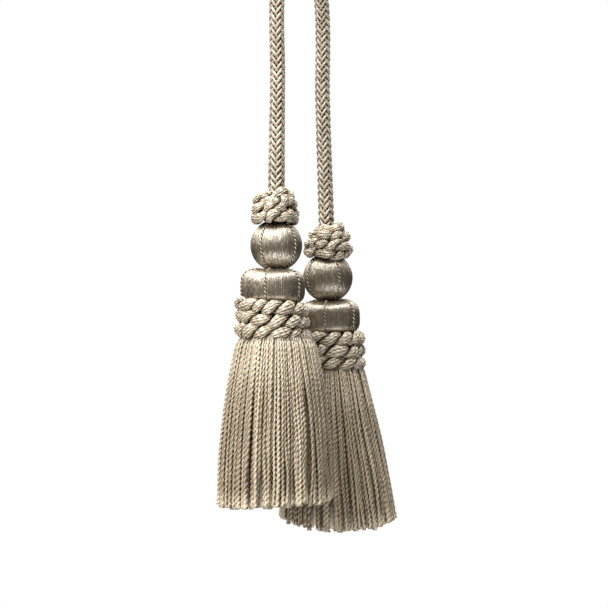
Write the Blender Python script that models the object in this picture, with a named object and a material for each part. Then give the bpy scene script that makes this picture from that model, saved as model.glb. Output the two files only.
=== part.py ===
"""A double-tassel chair tie, hanging by the loop of its cord.

One braided cord joins two like tassels. From the cord down, a tassel has a knot of twisted rope coiled round the
cord, a ball and a drum, which are turned moulds wound with satin thread, a collar of three turns of the same rope,
and a skirt of twisted yarns. The origin is the point where a hook meets the inside of the loop. The tie hangs in
the XZ plane, and the left tassel is the one at -X.
"""

import bisect
import math
import random

import bmesh
import bpy
from mathutils import Vector

# Driving dimensions, in metres. Depths on a tassel are measured down from its neck, where the cord goes in.
GAP = 0.0003  # clearance between pieces that touch
TURN_STEPS = 36  # faces round a plain turned piece
ROPE_TURNS = 3  # in a knot and in a collar
ROPE_RELIEF = 0.15  # depth of the deepest hollows, as a share of the radius
TURN_EDGE = 0.5  # height of a lobe where two turns meet, as a share of its full height
LOBE_EDGE = 0.2  # the same where two lobes of a turn meet
ROPE_SLANT = 0.6  # lobe pitches by which a ply moves round while it crosses its turn
ROPE_SHIFT = 0.25  # lobe pitches by which each turn's lobes follow on from the turn above
TURN_LEVELS = 3  # faces down one turn of rope
LOBE_STEPS = 5  # faces round one rope lobe

CORD_DIAMETER = 0.006
CORD_STEP = 2.0 * CORD_DIAMETER  # between the tube's points

KNOT_RADIUS = 0.0115  # over the lobes
KNOT_WIDEST = 0.0112  # depth at which the knot is widest
KNOT_DOME = 0.0120  # half height of the ellipse that its outline follows
KNOT_DEPTH = 0.0162
KNOT_LOBES = 7  # of the rope's two plies, in one turn
CUP_STEPS = 4  # of the hollow that sits on the ball

BALL_RADIUS = 0.0112
BALL_CENTRE = 0.0237
BALL_SEAT = 0.0040  # radius of the flat under the cord's end
BALL_FOOT = 0.0056  # radius of the flat on the drum
BALL_STEPS = 9  # from flat to flat

DRUM_RADIUS = 0.0144
DRUM_SHOULDER = 0.0043
DRUM_WALL_END = 0.0461
DRUM_SPIGOT = 0.0116  # radius inside the collar

COLLAR_RADIUS = 0.0158  # over the lobes
COLLAR_HEIGHT = 0.0172
COLLAR_LOBES = 12  # of the rope's two plies, in one turn

SKIRT_LENGTH = 0.0720
HEAD_THICKNESS = 0.0034  # the bound roots of the yarns
HEAD_INSET = 0.0025  # by which the head's top is narrower than its rim
OUTER_LEVELS = (0.0, 0.15, 0.40, 0.70, 1.0)  # shares of the free length
INNER_LEVELS = (0.0, 0.45, 1.0)
STRAND_FILL = 0.78  # share of the pitch that a strand fills
STRAND_DEPTH = 0.062  # half a strand's depth, as a share of the skirt's radius
STRAND_FLATNESS = 1.4  # largest width of a strand over its depth
BEARING_SCATTER = 0.06  # share of the pitch
END_SCATTER = 0.0009

# Rings of strands from the rim inwards: share of the skirt's radius, number of strands, sides, levels.
STRAND_RINGS = (
    (1.00, 60, 4, OUTER_LEVELS),
    (0.83, 40, 3, INNER_LEVELS),
    (0.66, 26, 3, INNER_LEVELS),
    (0.48, 14, 3, INNER_LEVELS),
    (0.30, 7, 3, INNER_LEVELS),
    (0.13, 3, 3, INNER_LEVELS),
)

# Each tassel: name, x and z of its neck, lean outwards to +X in degrees, radius of the skirt under the collar
# and at the hem, fullness (1 is a straight cone), and the rise of the hem towards a bearing in degrees.
TASSELS = (
    ("left", -0.0195, -0.1076, -0.3, 0.0164, 0.0250, 2.2, 0.0012, -60.0),
    ("right", 0.0229, -0.1210, 3.0, 0.0138, 0.0256, 1.1, 0.0010, 120.0),
)

# The cord's route through the air, from the left neck over the hook to the right neck, in x and z.
CORD_ROUTE = (
    (-0.0195, -0.1076),
    (-0.0186, -0.0600),
    (-0.0176, -0.0170),
    (-0.0126, -0.0023),
    (0.0000, 0.0030),
    (0.0126, -0.0023),
    (0.0176, -0.0170),
    (0.0196, -0.0660),
    (0.0229, -0.1210),
)

CREAM = (0.78, 0.70, 0.56, 1.0)
CORD_CREAM = (0.62, 0.56, 0.46, 1.0)
SATIN = (0.55, 0.48, 0.37, 1.0)
BEIGE = (0.50, 0.40, 0.28, 1.0)


def add_object(name, data, colour, roughness, parent=None):
    """Link a piece to the scene with a material of its own."""
    piece = bpy.data.objects.new(name, data)
    bpy.context.scene.collection.objects.link(piece)
    piece.parent = parent
    material = bpy.data.materials.new(name)
    material.use_nodes = True
    surface = material.node_tree.nodes["Principled BSDF"]
    surface.inputs["Base Color"].default_value = colour
    surface.inputs["Roughness"].default_value = roughness
    surface.inputs["Metallic"].default_value = 0.0
    data.materials.append(material)
    return piece


def finished_mesh(name, bm):
    """Turn a closed bmesh into a smooth-shaded mesh with its faces out."""
    bmesh.ops.recalc_face_normals(bm, faces=bm.faces)
    mesh = bpy.data.meshes.new(name)
    bm.to_mesh(mesh)
    bm.free()
    mesh.shade_smooth()
    mesh.set_sharp_from_angle(angle=math.radians(50.0))
    return mesh


def turned(profile, steps, ring=False):
    """Turn a profile of (radius, depth) points about the tassel's axis; a ring's profile closes on itself."""
    bm = bmesh.new()
    points = [bm.verts.new((radius, 0.0, -depth)) for radius, depth in profile]
    pairs = list(zip(points, points[1:]))
    if ring:
        pairs.append((points[-1], points[0]))
    edges = [bm.edges.new(pair) for pair in pairs]
    bmesh.ops.spin(bm, geom=points + edges, axis=(0.0, 0.0, 1.0), cent=(0.0, 0.0, 0.0),
                   angle=math.tau, steps=steps, use_merge=True)
    bmesh.ops.remove_doubles(bm, verts=bm.verts, dist=1e-6)
    return bm


def coil_levels(top, height):
    """The depths of the rings of points down a coil of rope."""
    count = ROPE_TURNS * TURN_LEVELS
    return [top + height * k / count for k in range(count + 1)]


def raise_rope(bm, outline, top, height, lobes):
    """Shape the outside of a ring as turns of two-ply rope, whose lobes lean up to the right."""
    for vert in bm.verts:
        radius = math.hypot(vert.co.x, vert.co.y)
        turns = ROPE_TURNS * (-vert.co.z - top) / height
        if not -0.01 < turns < ROPE_TURNS + 0.01 or abs(radius - outline(-vert.co.z)) > 1e-5:
            continue
        turn = math.floor(turns + 1e-4)
        crossing = turns - turn
        pitches = ROPE_SLANT * (crossing - 0.5) + ROPE_SHIFT * turn
        swell = TURN_EDGE + (1.0 - TURN_EDGE) * math.sin(math.pi * crossing)
        ripple = 0.5 + 0.5 * math.cos(lobes * math.atan2(vert.co.y, vert.co.x) + math.tau * pitches)
        hollow = 1.0 - swell * (LOBE_EDGE + (1.0 - LOBE_EDGE) * ripple)
        vert.co.x *= 1.0 - ROPE_RELIEF * hollow
        vert.co.y *= 1.0 - ROPE_RELIEF * hollow


# ---- Cord: one braided length that runs down into both knots and ends on the balls.

def axis_point(x, z, lean, depth):
    """A point on a tassel's axis, in the tie's own frame."""
    angle = math.radians(lean)
    return Vector((x + depth * math.sin(angle), 0.0, z - depth * math.cos(angle)))


def smooth_route(points, step):
    """Evenly spaced points on a smooth curve through the given points."""
    last = len(points) - 1
    chords = [(points[i + 1] - points[i]).length for i in range(last)]
    slopes = [(points[i + 1] - points[i]) / chords[i] for i in range(last)]
    tangents = [slopes[0]]
    for i in range(1, last):
        tangents.append(slopes[i - 1].lerp(slopes[i], chords[i - 1] / (chords[i - 1] + chords[i])))
    tangents.append(slopes[-1])
    fine = [points[0]]
    for i in range(last):
        for k in range(1, 33):
            t = k / 32
            leave = points[i] * (1 + 2 * t) * (1 - t) ** 2 + tangents[i] * chords[i] * t * (1 - t) ** 2
            arrive = points[i + 1] * t * t * (3 - 2 * t) - tangents[i + 1] * chords[i] * t * t * (1 - t)
            fine.append(leave + arrive)
    travelled = [0.0]
    for before, after in zip(fine, fine[1:]):
        travelled.append(travelled[-1] + (after - before).length)
    count = round(travelled[-1] / step)
    route = [fine[0]]
    for k in range(1, count):
        target = travelled[-1] * k / count
        i = bisect.bisect_left(travelled, target)
        share = (target - travelled[i - 1]) / (travelled[i] - travelled[i - 1])
        route.append(fine[i - 1].lerp(fine[i], share))
    return route + [fine[-1]]


def add_cord(end_depth):
    """The cord as a tube whose ends lie at a depth under the necks."""
    curve = bpy.data.curves.new("cord", "CURVE")
    curve.dimensions = "3D"
    curve.bevel_depth = CORD_DIAMETER / 2
    curve.bevel_resolution = 3
    curve.use_fill_caps = True
    left, right = TASSELS
    points = [axis_point(*left[1:4], end_depth)]
    points += [Vector((x, 0.0, z)) for x, z in CORD_ROUTE]
    points.append(axis_point(*right[1:4], end_depth))
    route = smooth_route(points, CORD_STEP)
    spline = curve.splines.new("POLY")
    spline.points.add(len(route) - 1)
    for point, place in zip(spline.points, route):
        point.co = (*place, 1.0)
    return add_object("cord", curve, CORD_CREAM, 0.7)


# ---- Top knot: a domed coil of twisted rope, bored for the cord and hollowed to sit on the ball.

def knot_mesh(name):
    def outline(depth):
        """Radius of the knot's dome, over the lobes."""
        return KNOT_RADIUS * math.sqrt(1.0 - ((depth - KNOT_WIDEST) / KNOT_DOME) ** 2)

    bore = CORD_DIAMETER / 2 + GAP
    cup = BALL_RADIUS + GAP
    profile = [(bore, 0.0)] + [(outline(depth), depth) for depth in coil_levels(0.0, KNOT_DEPTH)]
    rim = outline(KNOT_DEPTH) * (1.0 - ROPE_RELIEF)
    for k in range(CUP_STEPS + 1):
        radius = rim + (bore - rim) * k / CUP_STEPS
        profile.append((radius, BALL_CENTRE - math.sqrt(cup ** 2 - radius ** 2)))
    bm = turned(profile, LOBE_STEPS * KNOT_LOBES, ring=True)
    raise_rope(bm, outline, 0.0, KNOT_DEPTH, KNOT_LOBES)
    return finished_mesh(name, bm)


# ---- Ball: a turned bead wound with thread, flat where the cord ends on it and where it stands on the drum.

def flat_depth(flat_radius):
    """Distance from the ball's centre to a flat of the given radius."""
    return math.sqrt(BALL_RADIUS ** 2 - flat_radius ** 2)


def ball_mesh(name):
    first = math.asin(BALL_SEAT / BALL_RADIUS)
    last = math.pi - math.asin(BALL_FOOT / BALL_RADIUS)
    profile = [(0.0, BALL_CENTRE - flat_depth(BALL_SEAT))]
    for k in range(BALL_STEPS + 1):
        angle = first + (last - first) * k / BALL_STEPS
        profile.append((BALL_RADIUS * math.sin(angle), BALL_CENTRE - BALL_RADIUS * math.cos(angle)))
    profile.append((0.0, BALL_CENTRE + flat_depth(BALL_FOOT)))
    return finished_mesh(name, turned(profile, TURN_STEPS))


# ---- Drum: a turned mould with a round shoulder, stepped in below to carry the collar.

def drum_mesh(name):
    top = BALL_CENTRE + flat_depth(BALL_FOOT) + GAP
    flat = DRUM_RADIUS - DRUM_SHOULDER
    profile = [(0.0, top)]
    for k in range(5):
        angle = math.radians(90.0 * k / 4)
        inset = DRUM_SHOULDER * math.sin(angle)
        profile.append((flat + inset, top + DRUM_SHOULDER * (1.0 - math.cos(angle))))
    foot = DRUM_WALL_END + COLLAR_HEIGHT
    profile += [(DRUM_RADIUS, DRUM_WALL_END), (DRUM_SPIGOT, DRUM_WALL_END), (DRUM_SPIGOT, foot), (0.0, foot)]
    return finished_mesh(name, turned(profile, TURN_STEPS))


# ---- Collar: three turns of the same rope, wound round the drum's spigot.

def collar_mesh(name):
    top = DRUM_WALL_END + GAP
    bore = DRUM_SPIGOT + GAP
    profile = [(COLLAR_RADIUS, depth) for depth in coil_levels(top, COLLAR_HEIGHT)]
    profile += [(bore, top + COLLAR_HEIGHT), (bore, top)]
    bm = turned(profile, LOBE_STEPS * COLLAR_LOBES, ring=True)
    raise_rope(bm, lambda depth: COLLAR_RADIUS, top, COLLAR_HEIGHT, COLLAR_LOBES)
    return finished_mesh(name, bm)


# ---- Skirt: yarns that hang apart from the bound head under the collar.

def add_strand(bm, sides, sections):
    """An open-topped strand; each section is its centre, its half width and its half depth as vectors."""
    loops = []
    for centre, across, out in sections:
        turns = [math.tau * k / sides for k in range(sides)]
        loops.append([bm.verts.new(centre + out * math.cos(a) + across * math.sin(a)) for a in turns])
    for upper, lower in zip(loops, loops[1:]):
        for k in range(sides):
            after = (k + 1) % sides
            bm.faces.new((upper[k], upper[after], lower[after], lower[k]))
    bm.faces.new(loops[-1])


def skirt_mesh(name, root_radius, hem_radius, fullness, hem_rise, rise_bearing, seed):
    scatter = random.Random(seed)
    top = DRUM_WALL_END + COLLAR_HEIGHT + 2 * GAP
    root = top + HEAD_THICKNESS

    def radius_at(depth):
        """Outside radius of the skirt at a depth."""
        share = min((depth - top) / SKIRT_LENGTH, 1.0)
        return root_radius + (hem_radius - root_radius) * (1.0 - (1.0 - share) ** fullness)

    rim = radius_at(root) + GAP
    profile = [(0.0, top), (rim - HEAD_INSET, top), (rim - 0.25 * HEAD_INSET, top + 0.4 * HEAD_THICKNESS),
               (rim, root)]
    bm = turned(profile, TURN_STEPS)
    for share, count, sides, levels in STRAND_RINGS:
        phase = scatter.uniform(0.0, math.tau)
        for k in range(count):
            bearing = phase + math.tau * (k + scatter.uniform(-BEARING_SCATTER, BEARING_SCATTER)) / count
            outward = Vector((math.cos(bearing), math.sin(bearing), 0.0))
            sideways = Vector((-outward.y, outward.x, 0.0))
            rise = hem_rise * math.cos(bearing - math.radians(rise_bearing))
            end = top + SKIRT_LENGTH - rise + scatter.uniform(-END_SCATTER, END_SCATTER)
            sections = []
            for level in levels:
                depth = root + (end - root) * level
                rim_radius = radius_at(depth)
                half_depth = STRAND_DEPTH * rim_radius
                radius = (rim_radius - half_depth) * share
                half_width = min(STRAND_FILL * math.pi * radius / count, STRAND_FLATNESS * half_depth)
                centre = outward * radius + Vector((0.0, 0.0, -depth))
                sections.append((centre, sideways * half_width, outward * half_depth))
            add_strand(bm, sides, sections)
    open_edges = [edge for edge in bm.edges if edge.is_boundary]
    bmesh.ops.triangle_fill(bm, use_beauty=True, edges=open_edges, normal=(0.0, 0.0, -1.0))
    return finished_mesh(name, bm)


# ---- The tie: the cord, and both tassels hung from its ends.

for old in list(bpy.data.objects):
    bpy.data.objects.remove(old)

add_cord(BALL_CENTRE - flat_depth(BALL_SEAT) - GAP)
for index, (side, x, z, lean, *skirt) in enumerate(TASSELS):
    neck = bpy.data.objects.new(side + "_neck", None)
    bpy.context.scene.collection.objects.link(neck)
    neck.location = (x, 0.0, z)
    neck.rotation_euler.y = -math.radians(lean)
    add_object(side + "_knot", knot_mesh(side + "_knot"), CREAM, 0.65, neck)
    add_object(side + "_ball", ball_mesh(side + "_ball"), SATIN, 0.4, neck)
    add_object(side + "_drum", drum_mesh(side + "_drum"), SATIN, 0.4, neck)
    add_object(side + "_collar", collar_mesh(side + "_collar"), CREAM, 0.65, neck)
    add_object(side + "_skirt", skirt_mesh(side + "_skirt", *skirt, seed=index), BEIGE, 0.8, neck)
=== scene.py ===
"""The looks of a double-tassel chair tie: braided cord, rope knots, satin moulds, rope collars, yarn skirts."""

import math

import bmesh
import bpy
import numpy as np
from mathutils import Matrix, Vector


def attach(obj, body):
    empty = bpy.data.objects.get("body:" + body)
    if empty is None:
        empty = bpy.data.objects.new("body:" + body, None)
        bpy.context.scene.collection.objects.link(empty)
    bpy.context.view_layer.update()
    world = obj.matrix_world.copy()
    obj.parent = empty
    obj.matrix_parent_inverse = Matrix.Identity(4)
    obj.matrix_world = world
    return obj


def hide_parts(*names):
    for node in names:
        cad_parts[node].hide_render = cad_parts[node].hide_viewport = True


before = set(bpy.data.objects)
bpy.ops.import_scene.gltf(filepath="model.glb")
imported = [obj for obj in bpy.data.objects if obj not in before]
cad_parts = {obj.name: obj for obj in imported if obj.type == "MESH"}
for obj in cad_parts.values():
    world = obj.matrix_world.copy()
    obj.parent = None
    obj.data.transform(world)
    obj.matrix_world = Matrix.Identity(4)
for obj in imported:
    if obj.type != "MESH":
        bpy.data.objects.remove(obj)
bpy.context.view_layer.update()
chance = np.random.default_rng(7)


# ---- Camera. It looks level at the pair from the left tassel's side, so that this tassel hangs in front.
# Both runs of the cord leave its view at the top.

VIEW_BEARING = 211.2  # degrees, from the tie towards the camera
VIEW_CENTRE = Vector((0.0009, -0.0015, -0.1566))
CAMERA_REACH = 0.817
CAMERA_LENS = 110.0

bearing = math.radians(VIEW_BEARING)
toward = Vector((math.cos(bearing), math.sin(bearing), 0.0))
camera = bpy.data.objects.new("camera", bpy.data.cameras.new("camera"))
bpy.context.scene.collection.objects.link(camera)
camera.data.lens = CAMERA_LENS
camera.data.clip_start = 0.01
camera.location = VIEW_CENTRE + CAMERA_REACH * toward
camera.rotation_euler = toward.to_track_quat("Z", "Y").to_euler()
bpy.context.scene.camera = camera


# ---- Cord. Sixteen soft strands are braided two over, two under, round a core. It runs from the left tassel
# up over the hook and down to the right one, and swells a little where it enters the knots.

CORD_ROUTE = (
    (-0.0195, 0.0, -0.1076),
    (-0.0186, 0.0, -0.0600),
    (-0.0176, 0.0, -0.0170),
    (-0.0126, 0.0, -0.0023),
    (0.0000, 0.0, 0.0030),
    (0.0126, 0.0, -0.0023),
    (0.0176, 0.0, -0.0170),
    (0.0196, 0.0, -0.0660),
    (0.0229, 0.0, -0.1210),
)
CORD_STEPS = 421
CORD_END = 0.0126  # how far the cord runs on below a tassel's neck, down to the ball
CORD_SWELLS = (0.10, 0.06)  # how much fuller it is where it enters the left and the right knot
SWELL_REACH = 0.030
SIDES = ("left", "right")
NECKS = {"left": CORD_ROUTE[0], "right": CORD_ROUTE[-1]}
LEANS = {"left": -0.3, "right": 3.0}  # degrees by which each tassel leans out

EACH_WAY = 8  # strands that go round one way, and as many the other way
BRAID_LEAD = 0.0240  # length in which a strand goes once round
BRAID_RADIUS = 0.00255  # of the strands' middle line
BRAID_WAVE = 0.00040  # by which a strand rises over and sinks under the others
BRAID_PHASE = 205.0  # degrees, which sets where round the cord the crossings lie
STRAND_WIDE = 0.00061  # half its width and thickness
STRAND_HIGH = 0.00054
STRAND_SIDES = 8
STRAND_UNEVEN = (0.11, 0.09)  # how much its plumpness varies from one to the next, and along it
CORE_RADIUS = 0.0021


def hang(side, points):
    """Points of a tassel's own frame, whose origin is its neck, at their place in the pair."""
    turn = np.array(Matrix.Rotation(-math.radians(LEANS[side]), 3, "Y"))
    return np.asarray(points) @ turn.T + np.array(NECKS[side])


def run_along(line):
    """The length along a line up to each of its points."""
    return np.concatenate([[0.0], np.cumsum(np.linalg.norm(np.diff(line, axis=0), axis=1))])


def smooth_line(points, count):
    """Evenly spaced points on a smooth curve through the given points, and its length."""
    points = np.array(points)
    chords = np.linalg.norm(np.diff(points, axis=0), axis=1)
    slopes = np.diff(points, axis=0) / chords[:, None]
    share = (chords[:-1] / (chords[:-1] + chords[1:]))[:, None]
    tangents = np.vstack([slopes[:1], slopes[:-1] * (1 - share) + slopes[1:] * share, slopes[-1:]])
    t = np.linspace(0.0, 1.0, 64, endpoint=False)[:, None]
    spans = [
        points[i] * (1 + 2 * t) * (1 - t) ** 2 + tangents[i] * chords[i] * t * (1 - t) ** 2
        + points[i + 1] * t * t * (3 - 2 * t) - tangents[i + 1] * chords[i] * t * t * (1 - t)
        for i in range(len(chords))
    ]
    fine = np.vstack(spans + [points[-1:]])
    run = run_along(fine)
    even = np.linspace(0.0, run[-1], count)
    return np.stack([np.interp(even, run, fine[:, k]) for k in range(3)], axis=1), run[-1]


def sweep(paths, outward, wide, high):
    """Rings of points round paths: wide and high are how far each lies across its path and outwards."""
    along = np.gradient(paths, axis=1)
    along /= np.linalg.norm(along, axis=2, keepdims=True)
    outward = outward - np.sum(outward * along, axis=2, keepdims=True) * along
    outward /= np.linalg.norm(outward, axis=2, keepdims=True)
    across = np.cross(outward, along)
    return paths[:, :, None] + wide[..., None] * across[:, :, None] + high[..., None] * outward[:, :, None]


def lay_strands(name, rings, **marks):
    """Strands along the rings: a grid is rolled into a straight one and closed, repeated, and bent into place.

    The marks are values kept on the mesh's points for the materials.
    """
    count, steps, sides = rings.shape[:3]
    straight = bmesh.new()
    bmesh.ops.create_grid(straight, x_segments=sides, y_segments=steps - 1, size=0.5)
    for vertex in straight.verts:
        turn = math.tau * (vertex.co.x + 0.5)
        vertex.co = (math.cos(turn), math.sin(turn), (vertex.co.y + 0.5) * (steps - 1))
    bmesh.ops.remove_doubles(straight, verts=straight.verts, dist=0.01)
    bmesh.ops.holes_fill(straight, edges=[edge for edge in straight.edges if edge.is_boundary], sides=0)
    bmesh.ops.recalc_face_normals(straight, faces=straight.faces)
    spots = np.array([vertex.co for vertex in straight.verts])
    step = np.rint(spots[:, 2]).astype(int)
    side = np.rint(np.arctan2(spots[:, 1], spots[:, 0]) * sides / math.tau).astype(int) % sides
    one = bpy.data.meshes.new("strand")
    straight.to_mesh(one)
    straight.free()
    whole = bmesh.new()
    for _ in range(count):
        whole.from_mesh(one)
    bpy.data.meshes.remove(one)
    mesh = bpy.data.meshes.new(name)
    whole.to_mesh(mesh)
    whole.free()
    mesh.vertices.foreach_set("co", rings[:, step, side].astype(float).ravel())
    for mark, values in marks.items():
        spread = np.broadcast_to(values, rings.shape[:3])[:, step, side].astype(float).ravel()
        mesh.attributes.new(mark, "FLOAT", "POINT").data.foreach_set("value", spread)
    mesh.shade_smooth()
    return mesh


def add_piece(name, mesh, material, slot, *nodes):
    """Put a finished mesh in the scene as a piece that stands for CAD nodes."""
    mesh.materials.clear()
    mesh.materials.append(material)
    piece = bpy.data.objects.new(name, mesh)
    bpy.context.scene.collection.objects.link(piece)
    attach(piece, "root")
    if nodes:
        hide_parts(*nodes)
    return piece


class Socket:
    """A material's socket, so that shader maths is written as plain expressions."""

    def __init__(self, finish, socket):
        self.finish = finish
        self.socket = socket

    def maths(self, operation, first, second):
        return self.finish.node("ShaderNodeMath", {"operation": operation}, {0: first, 1: second})

    def __add__(self, other):
        return self.maths("ADD", self, other)

    def __sub__(self, other):
        return self.maths("SUBTRACT", self, other)

    def __rsub__(self, other):
        return self.maths("SUBTRACT", other, self)

    def __mul__(self, other):
        return self.maths("MULTIPLY", self, other)

    __radd__ = __add__
    __rmul__ = __mul__


class Finish:
    """A Principled material; fixed values go on its own sockets, and one method adds any other node."""

    def __init__(self, name, **fixed):
        self.material = bpy.data.materials.new(name)
        self.material.use_nodes = True
        self.tree = self.material.node_tree
        self.surface = self.tree.nodes["Principled BSDF"]
        for socket, value in fixed.items():
            self.surface.inputs[socket.replace("_", " ")].default_value = value

    def node(self, kind, settings, values, output=0):
        node = self.tree.nodes.new(kind)
        for setting, value in settings.items():
            setattr(node, setting, value)
        for socket, value in values.items():
            if isinstance(value, Socket):
                self.tree.links.new(value.socket, node.inputs[socket])
            else:
                node.inputs[socket].default_value = value
        return Socket(self, node.outputs[output])

    def mark(self, name, kind="Fac"):
        """A value, or a place, kept on the mesh's points."""
        return self.node("ShaderNodeAttribute", {"attribute_name": name}, {}, kind)

    def noise(self, scale, stretch=(1.0, 1.0, 1.0), detail=2.0, place=None):
        """Noise from about 0 to 1, in object space, drawn out along an axis where stretch is small."""
        place = place or self.node("ShaderNodeTexCoord", {}, {}, "Object")
        drawn = self.node("ShaderNodeVectorMath", {"operation": "MULTIPLY"}, {0: place, 1: stretch})
        return self.node("ShaderNodeTexNoise", {}, {"Vector": drawn, "Scale": scale, "Detail": detail})

    def cosine(self, value):
        return self.node("ShaderNodeMath", {"operation": "COSINE"}, {0: value})

    def clamp(self, value):
        return self.node("ShaderNodeClamp", {}, {"Value": value})

    def mix(self, share, first, second):
        """A colour between two others."""
        return self.node("ShaderNodeMix", {"data_type": "RGBA"}, {0: share, 6: first, 7: second}, 2)

    def colour(self, colour):
        self.tree.links.new(colour.socket, self.surface.inputs["Base Color"])

    def roughness(self, value):
        self.tree.links.new(value.socket, self.surface.inputs["Roughness"])

    def relief(self, height, distance):
        """Bump of the given depth in metres."""
        bump = self.node("ShaderNodeBump", {}, {"Height": height, "Distance": distance, "Strength": 1.0})
        self.tree.links.new(bump.socket, self.surface.inputs["Normal"])


def cloth_finish(name, dark, dim, pale, roughness, yarn_pitch=None, **fixed):
    """Glassy fibre, dim to pale by noise and by a mark that holds its own tone and painted light. A second mark
    darkens it towards dark: painted shade, or dye where it marks a brown thread.

    Where a yarn's pitch is given, the crests of its own twist are drawn round it, with their own relief; they
    are painted pale, as painted highlight, with painted shade between them.
    """
    cloth = Finish(name, Roughness=roughness, Specular_IOR_Level=1.0, **fixed)
    patch = cloth.noise(180.0, detail=3.0)
    fibre = cloth.noise(2600.0)
    lift = cloth.mark("tint") * 0.5 + patch * 0.6 + fibre * 1.2 - 0.65
    hollow = cloth.mark("hollow")
    if yarn_pitch:
        turns = cloth.mark("around") + cloth.mark("along") * (1.0 / yarn_pitch)
        crest = cloth.cosine(turns * math.tau) * 0.5 + 0.5
        # Painted highlight on the twist's crests, and painted shade between them.
        lift = lift + crest * 0.6 - 0.3
        hollow = cloth.clamp(hollow + (1.0 - crest) * 0.4)
        cloth.relief(crest * 2.0 + fibre, 0.00009)
    else:
        cloth.relief(fibre, 0.00014)
    cloth.colour(cloth.mix(hollow, cloth.mix(cloth.clamp(lift), dim, pale), dark))
    return cloth.material


ends = {side: hang(side, (0.0, 0.0, -CORD_END)) for side in SIDES}
centre, cord_length = smooth_line([ends["left"], *CORD_ROUTE, ends["right"]], CORD_STEPS)
run = np.linspace(0.0, cord_length, CORD_STEPS)
along = np.gradient(centre, axis=0)
along /= np.linalg.norm(along, axis=1)[:, None]
across = np.array([0.0, 1.0, 0.0])
inward = np.cross(along, across)
fullness = (1.0 + CORD_SWELLS[0] * np.exp(-((run - CORD_END) / SWELL_REACH) ** 2)
            + CORD_SWELLS[1] * np.exp(-((cord_length - CORD_END - run) / SWELL_REACH) ** 2))

ways = np.repeat([1, -1], EACH_WAY)[:, None]
starts = math.tau * np.tile(np.arange(EACH_WAY), 2)[:, None] / EACH_WAY
bearings = ways * math.tau * run / BRAID_LEAD + starts
rise = ways * np.cos(EACH_WAY / 2 * bearings - math.radians(BRAID_PHASE))
outward = np.cos(bearings)[..., None] * across + np.sin(bearings)[..., None] * inward
paths = centre + ((BRAID_RADIUS + BRAID_WAVE * rise) * fullness)[..., None] * outward
turn = math.tau * np.arange(STRAND_SIDES) / STRAND_SIDES
plump = (1.0 + STRAND_UNEVEN[0] * chance.standard_normal((2 * EACH_WAY, 1, 1))
         + STRAND_UNEVEN[1] * chance.standard_normal((2 * EACH_WAY, CORD_STEPS, 1)))
strands = sweep(paths, outward, STRAND_WIDE * plump * fullness[:, None] * np.cos(turn),
                STRAND_HIGH * fullness[:, None] * np.sin(turn))
core = sweep(centre[None], across[None, None], CORE_RADIUS * fullness[:, None] * np.cos(turn),
             CORE_RADIUS * fullness[:, None] * np.sin(turn))
# Painted shade: a strand is darkened where it sinks under the others and along its edges, less on its outer
# side.
painted_braid_shade = np.clip(0.45 - 0.75 * rise[..., None] + 0.50 * np.cos(turn) ** 2 - 0.35 * np.sin(turn), 0.0, 1.0)

cord_cloth = cloth_finish("braided cord", (0.085, 0.058, 0.030, 1.0), (0.38, 0.30, 0.20, 1.0),
                          (0.68, 0.59, 0.45, 1.0), 0.48, IOR=1.6)
# The cloth's dark colour is painted shade; the core inside is painted wholly dark with it.
mesh = lay_strands("cord_braid", np.concatenate([strands, core]),
                   hollow=np.concatenate([painted_braid_shade, np.ones(core.shape[:3])]),
                   tint=chance.uniform(0.0, 1.0, (2 * EACH_WAY + 1, 1, 1)))
braid = add_piece("cord_braid", mesh, cord_cloth, "braided_cord", "cord")


# ---- Knots. Each is a beehive of soft two-ply rope, wound round the cord's end above the ball. One hidden turn
# climbs beside the cord, and nearly four go down round it, wider as they go. They part in front, where the cord
# goes in.

ROPE_YARNS = 10  # in each of a rope's two plies
YARN_CORNERS = 4  # points of a ply's ring to each of its yarns
YARN_TURN = 0.85  # how far the yarns are twisted back against the rope's lay, as a share of it
PLY_OUT = 0.00142  # from the rope's middle to a ply's, and half a ply's depth and width, in a full-size rope
PLY_DEEP = 0.00158
PLY_WIDE = 0.00222
ROPE_RADIUS = PLY_OUT + PLY_DEEP
YARN_GROOVE = 0.82  # a ply's size in the grooves between its yarns, and what their crowns add to it
YARN_CROWN = 0.24
PLY_SIZE = 0.93  # a ply's size at the rope's side, and what its swelling adds where it lies outside
PLY_SWELL = 0.21
YARN_OFFSET = 0.01  # the most by which a yarn's own twist starts off its neighbours'
COIL_STEPS = 400

# How unevenly a coil lies: how far it strays, and the turns over which it does.
LOBES_STRAY = (0.10, 0.11)
DEPTH_STRAYS = (0.00025, 0.09)
RADIUS_STRAYS = (0.00018, 0.06)
SIZE_STRAYS = (0.05, 0.08)
TINT_STRAYS = (0.25, 0.05)

KNOT_RADII = {-1.0: 0.0042, 0.0: 0.0038, 0.5: 0.0043, 1.0: 0.0058, 1.5: 0.0069, 2.0: 0.0078, 2.5: 0.0083,
              3.5: 0.0084, 3.9: 0.0072}  # of the coil's middle line, by the turns that it has made
KNOT_DEPTHS = {-1.0: 0.0105, 0.0: 0.0040, 0.5: 0.0014, 1.0: 0.0030, 1.5: 0.0052, 2.5: 0.0086, 3.5: 0.0121,
               3.9: 0.0125}
PARTING_DEPTH = 0.0016  # by which the first turn dips in front, and the turns over which it does
PARTING_REACH = 0.11
KNOT_LOBE = 0.0054  # length of rope to one lobe
KNOT_FIRST_LOBE = 0.3  # where its first crest is, in lobes
KNOT_ROPE_SIZE = 0.82  # as a share of a full-size rope
KNOT_LOOSENESS = 3.1
KNOT_SHAPES = {  # how far it is drawn out and raised, and where it sits off the axis
    "left": (1.0, 0.0, (-0.0003, 0.0005, 0.0)),
    "right": (1.14, 0.0006, (0.0003, -0.0005, 0.0)),
}


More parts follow.
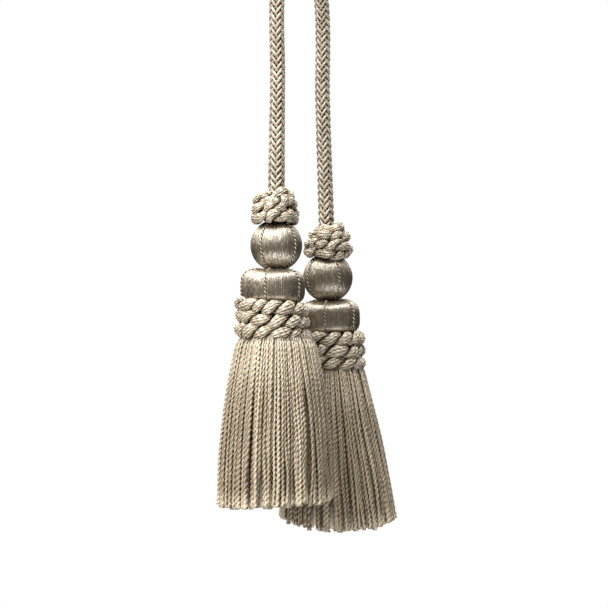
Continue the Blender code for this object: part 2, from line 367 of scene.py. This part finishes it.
def twist_rope(path, outward, lay_turn, size):
    """Rings and marks of a two-ply rope along a path; lay_turn is the angle that the plies have turned.

    The corners are counted in the order that makes the faces point inwards, which turns the relief over too.
    """
    psi = math.tau * np.arange(YARN_CORNERS * ROPE_YARNS) / (YARN_CORNERS * ROPE_YARNS)
    ridge = np.abs(np.sin(0.5 * ROPE_YARNS * psi))[None, :]
    groove = 1.0 - ridge
    rings, hollow, along = [], [], []
    for ply in range(2):
        phi = lay_turn + math.pi * ply
        own = psi[None, :] - YARN_TURN * phi[:, None]  # angle in the ply's own section, from its outer crest
        grow = size[:, None] * (YARN_GROOVE + YARN_CROWN * ridge)
        grow = grow * (PLY_SIZE + PLY_SWELL * np.cos(phi)[:, None])
        crest = PLY_OUT * size[:, None] + PLY_DEEP * grow * np.cos(own)
        flank = PLY_WIDE * grow * np.sin(own)
        high = crest * np.cos(phi)[:, None] - flank * np.sin(phi)[:, None]
        wide = crest * np.sin(phi)[:, None] + flank * np.cos(phi)[:, None]
        rings.append(sweep(path[None], outward[None], wide[None], high[None])[0])
        # Painted shade: dark between the yarns, deep between the plies, and on the rope's inner side.
        deep = 0.80 - np.hypot(high, wide) / (ROPE_RADIUS * size[:, None])
        inner = 0.25 - high / (ROPE_RADIUS * size[:, None])
        hollow.append(0.55 * groove ** 1.4 + 2.2 * np.clip(deep, 0.0, 1.0) + np.clip(inner, 0.0, 1.0))
        starts = chance.uniform(0.0, YARN_OFFSET, ROPE_YARNS)
        along.append(run_along(path)[:, None] + np.repeat(starts, YARN_CORNERS)[None, :])
    # The tone mark is painted highlight on the yarns' crowns and painted shade in the grooves between them.
    return np.array(rings), {"hollow": np.clip(hollow, 0.0, 1.0), "along": np.array(along),
                             "tint": 1.0 - 1.5 * groove,
                             "around": np.tile(np.arange(YARN_CORNERS) / YARN_CORNERS, ROPE_YARNS)}


def slow_noise(turns, stray, looseness=1.0):
    """A slow random wave over the turns of a coil."""
    size, reach = stray
    posts = np.arange(turns[0] - reach, turns[-1] + 3 * reach, reach)
    level = size * looseness * chance.standard_normal(len(posts))
    share = (turns - posts[0]) / reach
    low = share.astype(int)
    blend = (1 - np.cos(math.pi * (share - low))) / 2
    return level[low] * (1 - blend) + level[low + 1] * blend


# The rope's dark colour is painted shade, and its pale crests are painted highlight.
rope_cloth = cloth_finish("twisted rope", (0.095, 0.052, 0.017, 1.0), (0.55, 0.42, 0.235, 1.0),
                          (0.92, 0.82, 0.63, 1.0), 0.44, yarn_pitch=0.0019, IOR=1.7)


def wind_coil(name, side, turns, radii, depths, lobes, first_lobe, size, looseness, node, slip):
    """Wind rope round a tassel: radii, depths and lobes, counted from the start, are given over the turns."""
    bearing = np.radians(VIEW_BEARING - 180.0) + math.tau * turns
    lobes = lobes + slow_noise(turns, LOBES_STRAY, looseness)
    depths = depths + slow_noise(turns, DEPTH_STRAYS, looseness)
    radii = radii + slow_noise(turns, RADIUS_STRAYS, looseness)
    size = size * (1.0 + slow_noise(turns, SIZE_STRAYS))
    path = np.stack([radii * np.cos(bearing), radii * np.sin(bearing), -depths], axis=1)
    outward = np.stack([np.cos(bearing), np.sin(bearing), np.zeros_like(bearing)], axis=1)
    rings, marks = twist_rope(path, outward, math.pi * (lobes - first_lobe), size)
    # Its own tone strays at random along the coil.
    marks["tint"] = marks["tint"] + slow_noise(turns, TINT_STRAYS)[:, None]
    mesh = lay_strands(name, hang(side, rings + np.array(slip)), **marks)
    add_piece(name, mesh, rope_cloth, "twisted_rope", node)


turns = np.linspace(min(KNOT_RADII), max(KNOT_RADII), COIL_STEPS)
radii = np.interp(turns, list(KNOT_RADII), list(KNOT_RADII.values()))
depths = np.interp(turns, list(KNOT_DEPTHS), list(KNOT_DEPTHS.values()))
depths = depths + PARTING_DEPTH * np.exp(-((turns - 0.5) / PARTING_REACH) ** 2)
swing = math.tau * turns
lobes = run_along(np.stack([radii * np.cos(swing), radii * np.sin(swing), -depths], axis=1)) / KNOT_LOBE
for side in SIDES:
    drop, rise, slip = KNOT_SHAPES[side]
    wind_coil(side + "_knot_rope", side, turns, radii, drop * depths - rise, lobes, KNOT_FIRST_LOBE,
              KNOT_ROPE_SIZE, KNOT_LOOSENESS, side + "_knot", slip)


# ---- Balls and drums. Wooden moulds are turned and wrapped in satin thread, laid from pole to pole. A ball
# stands on a round-edged drum, whose spigot below carries the skirt's head and its collar.

BALL_RADIUS = 0.0112
BALL_DEPTH = 0.0237
BALL_STEPS = 25
BALL_SATIN = (0.02, math.pi - 0.02)  # the angles from its upper pole between which the satin lies
BALL_THREADS = 92
DRUM_RADIUS = 0.0140
DRUM_TOP = 0.0337
DRUM_FOOT = 0.0500
DRUM_SQUARENESS = 3.4  # 2 would be an ellipse
DRUM_STEPS = 27
DRUM_EYE = 0.0003  # radius where its threads meet, of the flat round that, and where the wall begins
DRUM_FLAT = 0.0030
DRUM_SHOULDER = 0.0045
DRUM_THREADS = 112
SPIGOT_RADIUS = 0.0099
SPIGOT_TOP = 0.0504
SPIGOT_END = 0.0633
HEAD_SLIPS = {"left": (-0.0008, 0.0013, 0.0), "right": (0.0, 0.0, 0.0)}  # of a drum and its collar off the axis
THREAD_COLUMNS = 3  # of points to a thread: its crown, and the two sides of a groove
THREAD_GROOVE = 0.00016
GROOVE_FADE = 0.006  # radius under which the grooves close up towards the pole
# how darkly the grooves between the threads are painted, as painted shade
GROOVE_DARKNESS = 0.75

satin = Finish("satin thread", Specular_IOR_Level=1.0, IOR=2.7, Anisotropic=0.75,
               Specular_Tint=(1.0, 0.91, 0.76, 1.0))
glint = satin.noise(2200.0, (1.0, 1.0, 0.16), 1.0, satin.mark("laid", "Vector"))
streak = satin.noise(640.0, (1.0, 1.0, 0.04), 3.0, satin.mark("laid", "Vector"))
# The thread's colour strays with the grain noise: partly its own uneven tone, partly painted glints.
lift = satin.mark("tint") * 0.4 + streak * 3.4 + glint * 5.2 - 4.4
thread = satin.mix(satin.clamp(lift), (0.038, 0.025, 0.012, 1.0), (0.41, 0.325, 0.21, 1.0))
# Painted shade darkens the grooves between the threads.
satin.colour(satin.mix(satin.mark("hollow"), thread, (0.030, 0.019, 0.009, 1.0)))
satin.roughness(satin.clamp(1.0 - glint * 0.75 - streak * 0.35))
satin.relief(glint + streak * 0.6, 0.00034)


def wrap_mould(name, side, profile, threads, node, slip=(0.0, 0.0, 0.0)):
    """A turned mould, spun from its radii and depths, with grooves between the threads that lie along it."""
    columns = THREAD_COLUMNS * threads
    mould = bmesh.new()
    verts = [mould.verts.new((radius, 0.0, -depth)) for radius, depth in profile]
    edges = [mould.edges.new(pair) for pair in zip(verts, verts[1:])]
    bmesh.ops.spin(mould, geom=verts + edges, cent=(0, 0, 0), axis=(0, 0, 1), angle=math.tau, steps=columns,
                   use_merge=True)
    bmesh.ops.remove_doubles(mould, verts=mould.verts, dist=0.00002)
    bmesh.ops.holes_fill(mould, edges=[edge for edge in mould.edges if edge.is_boundary], sides=0)
    bmesh.ops.recalc_face_normals(mould, faces=mould.faces)
    mesh = bpy.data.meshes.new(name)
    mould.to_mesh(mesh)
    mould.free()
    spots = np.empty(3 * len(mesh.vertices))
    mesh.vertices.foreach_get("co", spots)
    spots = spots.reshape(-1, 3)
    bearing = np.arctan2(spots[:, 1], spots[:, 0])
    radius = np.hypot(spots[:, 0], spots[:, 1])
    column = np.rint(bearing * columns / math.tau).astype(int)
    crown = column % THREAD_COLUMNS == 0
    tint = chance.uniform(0.0, 1.0, threads)[(column // THREAD_COLUMNS) % threads]
    sink = np.where(crown, 0.0, THREAD_GROOVE) * np.clip(radius / GROOVE_FADE, 0.0, 1.0)
    spots[:, :2] *= (1.0 - sink / np.maximum(radius, 1e-5))[:, None]
    mesh.vertices.foreach_set("co", hang(side, spots + np.array(slip)).ravel())
    # Painted shade in the grooves, and each thread's own tone at random.
    for mark, values in (("hollow", np.where(crown, 0.0, GROOVE_DARKNESS)), ("tint", tint)):
        mesh.attributes.new(mark, "FLOAT", "POINT").data.foreach_set("value", values.astype(float))
    # Where a point would lie if the satin were laid flat on a tube, so that its grain follows the threads.
    line = np.array(profile)
    ring = np.argmin(np.hypot(radius[:, None] - line[:, 0], -spots[:, 2, None] - line[:, 1]), axis=1)
    girth = line[:, 0].max()
    laid = np.stack([girth * np.cos(bearing), girth * np.sin(bearing), run_along(line)[ring]], axis=1)
    mesh.attributes.new("laid", "FLOAT_VECTOR", "POINT").data.foreach_set("vector", laid.ravel())
    mesh.shade_smooth()
    add_piece(name, mesh, satin.material, "satin_thread", node)


def ball_profile(first, last):
    """Radii and depths down a ball, between two angles from its upper pole."""
    return [(BALL_RADIUS * math.sin(t), BALL_DEPTH - BALL_RADIUS * math.cos(t))
            for t in np.linspace(first, last, BALL_STEPS)]


middle, half = (DRUM_TOP + DRUM_FOOT) / 2, (DRUM_FOOT - DRUM_TOP) / 2
drum_wall = [(DRUM_RADIUS * abs(math.cos(t)) ** (2 / DRUM_SQUARENESS),
              middle + half * math.copysign(abs(math.sin(t)) ** (2 / DRUM_SQUARENESS), t))
             for t in np.linspace(-math.pi / 2, math.pi / 2, DRUM_STEPS)]
drum_wall = [(radius, depth) for radius, depth in drum_wall
             if radius > DRUM_SHOULDER and (depth < middle or radius > SPIGOT_RADIUS)]
drum = [(DRUM_EYE, DRUM_TOP), (DRUM_FLAT, DRUM_TOP), *drum_wall, (SPIGOT_RADIUS, SPIGOT_TOP),
        (SPIGOT_RADIUS, SPIGOT_END), (DRUM_EYE, SPIGOT_END)]
for side in SIDES:
    wrap_mould(side + "_ball_satin", side, ball_profile(*BALL_SATIN), BALL_THREADS, side + "_ball")
    wrap_mould(side + "_drum_satin", side, drum, DRUM_THREADS, side + "_drum", HEAD_SLIPS[side])


# ---- Laid cords. Fine cords of one brown and one pale thread are laid over the satin from pole to pole, at
# bearings of their own on each mould. The knot, the next mould or the collar hides their ends.

LAID_PITCH = 0.0017  # length in which the two threads turn once
LAID_RADIUS = 0.00020  # of one thread, and of the circle on which it turns
LAID_LIFT = 0.00006  # of the cord's middle off the satin
LAID_STEPS = 200
LAID_SIDES = 6
LAID_SPAN = (0.50, 2.55)  # the angles from a ball's upper pole between which they show
LAID_BEARINGS = {  # degrees to the right of the camera's bearing, on the ball and on the drum
    "left": ((-35.0, 48.0, 140.0, 232.0), (-73.0, -12.0, 55.0, 115.0, 175.0, 233.0)),
    "right": ((-54.0, 27.0, 119.0, 211.0), (-68.0, -8.0, 52.0, 112.0, 172.0, 232.0)),
}
laid_cloth = cloth_finish("laid cord", (0.030, 0.017, 0.008, 1.0), (0.50, 0.41, 0.29, 1.0),
                          (0.80, 0.73, 0.58, 1.0), 0.75, IOR=1.15)


def lay_cords(name, side, profile, bearings, slip=(0.0, 0.0, 0.0)):
    """Two-thread cords over a mould, each along its profile at a bearing. The first thread is pale."""
    line, length = smooth_line([(radius, 0.0, -depth) for radius, depth in profile], LAID_STEPS)
    slope = np.gradient(line, axis=0)
    slope /= np.linalg.norm(slope, axis=1)[:, None]
    face = np.cross(slope, (0.0, 1.0, 0.0))
    face *= np.sign(face[len(face) // 2, 0])
    turn = math.tau * np.arange(LAID_SIDES)[None, None] / LAID_SIDES
    wide, high = LAID_RADIUS * np.cos(turn), LAID_RADIUS * np.sin(turn)
    rings = []
    for bearing in bearings:
        spin = np.array(Matrix.Rotation(math.radians(VIEW_BEARING + bearing), 3, "Z"))
        outward = face @ spin.T
        sideways = np.cross(face, slope) @ spin.T
        for thread in range(2):
            angle = math.tau * np.linspace(0.0, length, LAID_STEPS) / LAID_PITCH + math.pi * thread
            path = ((line + LAID_LIFT * face) @ spin.T
                    + LAID_RADIUS * (np.cos(angle)[:, None] * outward + np.sin(angle)[:, None] * sideways))
            rings.append(sweep(path[None], outward[None], wide, high)[0])
    brown = np.tile([0.0, 1.0], len(bearings))[:, None, None]
    mesh = lay_strands(name, hang(side, np.array(rings) + np.array(slip)), hollow=brown, tint=0.8)
    add_piece(name, mesh, laid_cloth, "satin_thread")


for side in SIDES:
    on_ball, on_drum = LAID_BEARINGS[side]
    lay_cords(side + "_ball_cords", side, ball_profile(*LAID_SPAN), on_ball)
    lay_cords(side + "_drum_cords", side, drum_wall[:-1], on_drum, HEAD_SLIPS[side])


# ---- Collars. Three turns of the same rope, a little fatter, bind the skirt's head under the drum. The rope's
# start is tucked in behind.

COLLAR_LOBES = 13.75  # crests in a turn
COLLAR_FIRST_LOBE = COLLAR_LOBES * 0.5 + 0.02  # so that a crest lies in front, half a turn from the start
COLLAR_RADIUS = 0.0129
COLLAR_DEPTH = 0.0501  # of its first turn, in front
COLLAR_PITCH = 0.0056
COLLAR_TUCK = 0.0045  # how steeply the start goes in, for each turn
COLLAR_ROPE_SIZE = 1.03
COLLAR_LOOSENESS = 1.9

turns = np.linspace(-0.05, 3.05, COIL_STEPS)
radii = COLLAR_RADIUS - COLLAR_TUCK * np.clip(0.1 - turns, 0.0, None)
depths = COLLAR_DEPTH + COLLAR_PITCH * (turns - 0.5)
lobes = COLLAR_LOBES * turns
for side in SIDES:
    wind_coil(side + "_collar_rope", side, turns, radii, depths, lobes, COLLAR_FIRST_LOBE, COLLAR_ROPE_SIZE,
              COLLAR_LOOSENESS, side + "_collar", HEAD_SLIPS[side])


# ---- Skirts. Two-ply yarns hang from the collar in a full cone, in clumps, and are cut level at the hem. Two
# layers of them are seen, and rings of plain yarns fill the skirt behind them down to the hem.

SKIRT_TOP = 0.0600
HEM_DEPTH = 0.1354
HEM_RAGGED = 0.0006
HEAD_RADIUS = 0.0120  # of the bound head that the seen yarns come out from, and the length in which they do
HEAD_REACH = 0.0078
COLLAR_FOOT = 0.0639
COLLAR_SHADE = 0.0640  # depth of the shade under the collar, and of the gleam where the yarns turn down
YARN_GLEAM = 0.0690
# A skirt's radius under the collar and at the hem, and how early it opens. Then the hem's rise to one bearing,
# that bearing in degrees, and a rise to both it and its opposite.
SKIRT_SHAPES = {
    "left": (0.0172, 0.0250, 2.2, 0.0030, -59.0, 0.0),
    "right": (0.0158, 0.0272, 1.3, 0.0020, 121.0, 0.0022),
}
SKIRT_SWINGS = {"left": (0.0, 0.0, 0.0), "right": (0.0007, -0.0012, 0.0)}  # of the hem off the tassel's axis
SKIRT_SEEDS = {"left": 11, "right": 37}
YARN_RADIUS = 0.00086
YARN_PLIES = 2
PLY_CORNERS = 4  # points of a yarn's ring to each ply
YARN_PITCH = 0.0047  # length in which the plies turn once
YARN_STEPS = 118
OUTER_YARNS = 92
UNDER_YARNS = 74
UNDER_SHARE = 0.94  # of the outer yarns' distance from the axis
FILLING = [(8 + 8 * ring, 0.11 + 0.093 * ring) for ring in range(9)]  # yarns in each ring, and its share
FILLING_STEPS = 7
OFF_PLACE = 0.22  # how far a yarn may start off its even place, as a share of the gap
CLUMP_WAVES = (9, 14, 21, 30)  # clumps round the skirt, and radians by which yarns lean into them at the hem
CLUMPING = 0.07
LEANING = 0.030  # radians by which one yarn leans, and by which it wanders on its way down
WANDERING = 0.014
WANDER_WAVES = (0.6, 1.3, 2.4)  # over its length
WANDER_OUT = 0.00025
WANDER_TWIST = 0.0006
CROWDED_IN = 0.0016  # how far in a yarn may be crowded, and how far out a share of them stand proud
PROUD_OUT = 0.0004
PROUD_SHARE = 0.18
LAY_SPREAD = (0.88, 1.14)  # of the twist, from one yarn to another, and of the yarns' girth
GIRTH_SPREAD = 0.10
GIRTH_TOP = 0.80  # its girth at the collar, what the loose twist adds down to the hem, and the cut end to that
GIRTH_GAIN = 0.25
CUT_END_GAIN = 0.25
PLY_CROWN = 1.10  # the size of a ring on a ply's crest, and how much less it is between the plies
PLY_GROOVE = 0.36

# The yarn's dark colour is painted shade.
skirt_cloth = cloth_finish("skirt yarn", (0.095, 0.060, 0.026, 1.0), (0.215, 0.148, 0.075, 1.0),
                           (0.59, 0.490, 0.340, 1.0), 0.43, IOR=1.6)


def hang_yarns(side, count, share, seed, plain=False):
    """Rings and marks of one layer of yarns; share is how far out it lies, and plain yarns fill the skirt."""
    rng = np.random.default_rng(seed)
    # Each yarn has a bearing and an end, and follows the skirt's bell from the one to the other.
    root, hem, opening, rise, rise_bearing, both_rise = SKIRT_SHAPES[side]
    base = math.tau * (np.arange(count) + rng.uniform(-OFF_PLACE, OFF_PLACE, count)) / count
    swing = base - math.radians(rise_bearing)
    end = HEM_DEPTH + HEM_RAGGED * rng.standard_normal(count) - rise * (0.5 + 0.5 * np.cos(swing))
    end = end - both_rise * (0.5 + 0.5 * np.cos(2 * swing))
    t = np.linspace(0.0, 1.0, FILLING_STEPS if plain else YARN_STEPS)[None, :]
    depth = SKIRT_TOP + (end - SKIRT_TOP)[:, None] * t
    along = np.clip((depth - COLLAR_FOOT) / (HEM_DEPTH - COLLAR_FOOT), 0.0, 1.0)
    reach = root + (hem - root) * (1 - (1 - along) ** opening) - YARN_RADIUS
    # They clump, wander a little, and some are crowded in or stand proud.
    clump = sum(rng.uniform(0.3, 1.0) * np.sin(wave * base + rng.uniform(0, math.tau)) / wave
                for wave in CLUMP_WAVES)
    wander = sum(rng.standard_normal((count, 1)) / wave
                 * np.sin(math.tau * (wave * t + rng.uniform(0, 1, (count, 1)))) for wave in WANDER_WAVES)
    sway = CLUMPING * clump[:, None] + LEANING * rng.standard_normal((count, 1)) + WANDERING * wander
    bearing = base[:, None] + sway * along
    crowd = rng.uniform(0.0, 1.0, (count, 1))
    proud = (rng.uniform(0.0, 1.0, (count, 1)) < PROUD_SHARE).astype(float)
    radius = share * reach - CROWDED_IN * crowd * (1 - 0.2 * along)
    radius = radius + (PROUD_OUT * proud + WANDER_OUT * wander) * along
    if not plain:
        out = np.clip((depth - SKIRT_TOP) / HEAD_REACH, 0.0, 1.0)
        radius = HEAD_RADIUS + (radius - HEAD_RADIUS) * np.sin(out * math.pi / 2)
    paths = np.stack([radius * np.cos(bearing), radius * np.sin(bearing), -depth], axis=2)
    outward = np.stack([np.cos(bearing), np.sin(bearing), np.zeros_like(bearing)], axis=2)
    # A ring has a crest for each ply. The plies turn round each other, and open a little where the yarn is cut.
    lay = depth * rng.uniform(*LAY_SPREAD, (count, 1)) + rng.uniform(0.0, YARN_PITCH, (count, 1))
    twist = 0.0 if plain else ((lay + WANDER_TWIST * wander) / YARN_PITCH)[..., None]
    corner = np.arange(PLY_CORNERS * YARN_PLIES)
    turn = math.tau * (corner / len(corner) + twist)
    groove = 0.5 - 0.5 * np.cos(math.tau * corner / PLY_CORNERS)
    fat = (1.0 + GIRTH_SPREAD * rng.standard_normal((count, 1))) * (GIRTH_TOP + GIRTH_GAIN * along)
    fat = fat * (1.0 + CUT_END_GAIN * np.clip((t - 0.96) / 0.04, 0.0, 1.0))
    girth = YARN_RADIUS * fat[..., None] * (PLY_CROWN - PLY_GROOVE * groove)
    rings = sweep(paths, outward, girth * np.cos(turn), girth * np.sin(turn))
    rings = rings + np.array(SKIRT_SWINGS[side]) * along[..., None, None]
    # Painted shade darkens it between the plies, on its inner side, where it is crowded in, under the collar
    # and inside the skirt.
    shade = 0.34 - 0.75 * np.sin(turn) + 0.36 * (crowd[..., None] - 0.6) + 0.60 * groove
    shade = shade + 0.6 * np.exp(-((depth - COLLAR_SHADE) / 0.0016) ** 2)[..., None]
    if share < 1.0:
        shade = shade + 0.36 * (1.0 - t[..., None] ** 9)
    # Its tone strays at random; painted highlight lifts proud yarns, cut ends and the turn below the collar.
    tone_and_painted_highlight = rng.uniform(-0.3, 0.7, (count, 1)) + 0.9 * proud + 2.6 * np.clip((t - 0.90) / 0.10, 0.0, 1.0)
    tone_and_painted_highlight = tone_and_painted_highlight + 2.8 * np.exp(-((depth - YARN_GLEAM) / 0.010) ** 2)
    # Painted shade lowers the tone between the plies.
    marks = {"hollow": np.clip(shade, 0.0, 1.0), "tint": tone_and_painted_highlight[..., None] + 0.75 - 1.5 * groove}
    return hang(side, rings), {mark: np.broadcast_to(value, rings.shape[:3]) for mark, value in marks.items()}


def add_yarns(name, side, layers):
    """Put layers of yarns in the scene as one piece."""
    mesh = lay_strands(name, np.concatenate([rings for rings, _ in layers]),
                       **{mark: np.concatenate([marks[mark] for _, marks in layers]) for mark in layers[0][1]})
    add_piece(name, mesh, skirt_cloth, "skirt_yarn", side + "_skirt")


for side, seed in SKIRT_SEEDS.items():
    add_yarns(side + "_skirt_yarns", side, [hang_yarns(side, OUTER_YARNS, 1.0, seed)])
    add_yarns(side + "_skirt_under_yarns", side, [hang_yarns(side, UNDER_YARNS, UNDER_SHARE, seed + 20)])
    add_yarns(side + "_skirt_filling", side,
              [hang_yarns(side, count, share, seed + 1 + ring, plain=True)
               for ring, (count, share) in enumerate(FILLING)])


# ---- Stage. A plain pale floor lies well below the hanging tie, and what lies behind it is as pale. The light
# is soft: strong from high on the left, weaker from below and from behind.

FLOOR_DEPTH = 0.9
FLOOR_RADIUS = 30.0
WHITE = (1.0, 1.0, 1.0, 1.0)
BACKGROUND = 1.0  # brightness of the floor and of what lies behind it, which light nothing else
SUNS = {  # degrees to the right of the camera's bearing and above the level, strength, and softness in degrees
    "key_low": (-46.0, 24.0, 1.15, 30.0),
    "key_mid": (-40.0, 48.0, 2.8, 36.0),
    "key_high": (-14.0, 72.0, 3.3, 36.0),
    "fill": (10.0, 8.0, 0.3, 90.0),
    "bounce": (0.0, -58.0, 2.3, 50.0),
    "back_left": (-145.0, 40.0, 2.0, 60.0),
    "back_right": (140.0, 36.0, 2.0, 60.0),
    "back_bounce": (180.0, -50.0, 1.0, 60.0),
}

disc = bmesh.new()
bmesh.ops.create_circle(disc, cap_ends=True, segments=64, radius=FLOOR_RADIUS)
bmesh.ops.translate(disc, verts=disc.verts, vec=(0.0, 0.0, -FLOOR_DEPTH))
floor_mesh = bpy.data.meshes.new("floor")
disc.to_mesh(floor_mesh)
disc.free()
floor_paint = Finish("floor", Base_Color=(0.0, 0.0, 0.0, 1.0), Roughness=1.0, Specular_IOR_Level=0.0,
                     Emission_Color=WHITE, Emission_Strength=BACKGROUND)
floor_mesh.materials.append(floor_paint.material)
floor = bpy.data.objects.new("floor", floor_mesh)
bpy.context.scene.collection.objects.link(floor)
floor.visible_diffuse = False
floor.visible_glossy = False
floor.visible_shadow = False

world = bpy.data.worlds.new("studio")
bpy.context.scene.world = world
world.use_nodes = True
world.node_tree.nodes["Background"].inputs["Color"].default_value = WHITE
world.node_tree.nodes["Background"].inputs["Strength"].default_value = BACKGROUND
world.cycles_visibility.diffuse = False
world.cycles_visibility.glossy = False

for name, (bearing_from_view, elevation, strength, softness) in SUNS.items():
    bearing = math.radians(VIEW_BEARING + bearing_from_view)
    tall = math.radians(elevation)
    place = Vector((math.cos(bearing) * math.cos(tall), math.sin(bearing) * math.cos(tall), math.sin(tall)))
    lamp = bpy.data.objects.new(name, bpy.data.lights.new(name, "SUN"))
    bpy.context.scene.collection.objects.link(lamp)
    lamp.data.energy = strength
    lamp.data.angle = math.radians(softness)
    lamp.rotation_euler = place.to_track_quat("Z", "Y").to_euler()
bpy.context.scene.view_settings.view_transform = "Standard"
